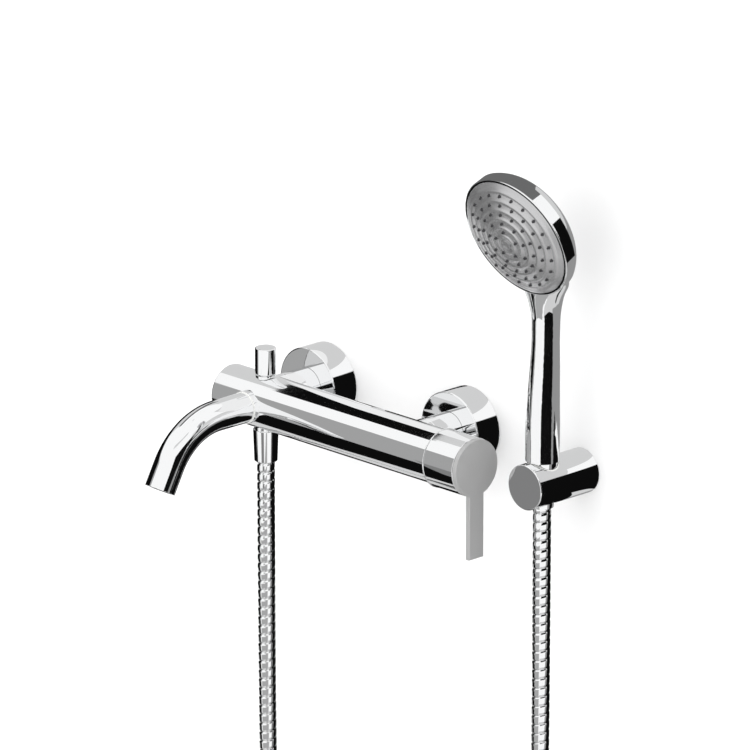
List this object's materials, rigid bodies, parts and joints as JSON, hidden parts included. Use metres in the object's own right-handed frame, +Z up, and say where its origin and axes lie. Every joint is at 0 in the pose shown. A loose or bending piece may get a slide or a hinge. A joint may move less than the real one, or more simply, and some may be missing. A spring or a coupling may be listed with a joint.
{
  "type": "wall mounted bath faucet",
  "caption": "Wall mounted bar mixer with a side lever, bent spout, pull diverter, and a hand shower on a hose that rests in its own wall holder.",
  "frame": {"origin": "on the wall plane, midway between the two water inlets, at the height of the mixer body's axis", "axes": "+Y into the wall along the wall threads, +X to the right along the mixer body, +Z up"},
  "size_m": [0.3446, 0.2037, 0.7887],
  "materials": {
    "chromed_brass": "mirror-bright chrome plating on brass",
    "flat_chrome": "chrome plating on a flat lapped face",
    "chromed_plastic": "chrome-plated plastic",
    "hose_metal": "chromed steel spiral over a rubber tube",
    "raw_brass": "machined brass",
    "steel": "stainless steel",
    "black_rubber": "black rubber",
    "white_plastic": "moulded acetal",
    "grey_face": "satin grey moulding",
    "grey_silicone": "soft grey silicone",
    "ceramic": "lapped ceramic"
  },
  "bodies": {
    "mixer": {"aerator_housing": "chromed_brass", "aerator_screen": "grey_silicone", "body_shell": "chromed_brass", "cartridge_base": "white_plastic", "cartridge_dome": "chromed_brass", "cartridge_housing": "white_plastic", "cartridge_ring": "raw_brass", "cartridge_seal": "black_rubber", "ceramic_disc_fixed": "ceramic", "check_valve_left": "white_plastic", "check_valve_right": "white_plastic", "diverter_bonnet": "chromed_brass", "diverter_spring": "steel", "filter_washer_left": "black_rubber", "filter_washer_right": "black_rubber", "holder_body": "chromed_brass", "holder_grub_screw": "steel", "holder_liner": "white_plastic", "holder_wall_plate": "steel", "hose_ferrule_lower": "raw_brass", "hose_nut_lower": "chromed_brass", "hose_washer_lower": "black_rubber", "inlet_nipple_left": "raw_brass", "inlet_nipple_right": "raw_brass", "offset_connector_left": "raw_brass", "offset_connector_right": "raw_brass", "shower_hose": "hose_metal", "shower_outlet_nipple": "raw_brass", "spout_seal": "white_plastic", "spout_tube": "chromed_brass", "union_nut_left": "chromed_brass", "union_nut_right": "chromed_brass", "wall_flange_left": "chromed_brass", "wall_flange_right": "chromed_brass"},
    "spindle": {"spindle_carrier": "white_plastic", "pivot_pin": "steel", "ceramic_disc_moving": "ceramic"},
    "handle": {"cartridge_stem": "raw_brass", "handle_cap": "chromed_brass", "lever_plate": "flat_chrome", "handle_set_screw": "steel"},
    "diverter": {"diverter_knob": "chromed_brass", "diverter_rod": "steel", "diverter_seal": "black_rubber"},
    "hose_end": {"hose_ferrule_upper": "raw_brass"},
    "hand_shower": {"hose_cone_nut": "chromed_brass", "hose_washer_upper": "black_rubber", "shower_shell": "chromed_plastic", "head_rim": "chromed_plastic", "face_plate": "grey_face", "nozzle_mat": "grey_silicone", "face_button": "chromed_plastic", "chamber_plate": "white_plastic", "shower_inlet_insert": "raw_brass", "flow_limiter": "white_plastic"}
  },
  "joints": [
    {"name": "lever_turn", "type": "hinge", "parent": "mixer", "child": "spindle", "pos_m": [0.1163, -0.0692, 0], "axis": [1, 0, 0], "range_deg": [-50, 50]},
    {"name": "lever_tilt", "type": "hinge", "parent": "spindle", "child": "handle", "pos_m": [0.1163, -0.0692, 0], "axis": [0, -1, 0], "range_deg": [0, 12]},
    {"name": "diverter_pull", "type": "slide", "parent": "mixer", "child": "diverter", "axis": [0, 0, 1], "range_m": [0, 0.008], "stiffness_N_per_m": 60, "deforming": ["diverter_spring"]},
    {"name": "shower_lift", "type": "slide", "parent": "mixer", "child": "hose_end", "axis": [0, 0, 1], "range_m": [0, 0.05]},
    {"name": "shower_swivel", "type": "hinge", "parent": "hose_end", "child": "hand_shower", "pos_m": [0.1892, -0.041, 0], "axis": [0, 0, 1], "range_deg": [-75, 75]}
  ]
}
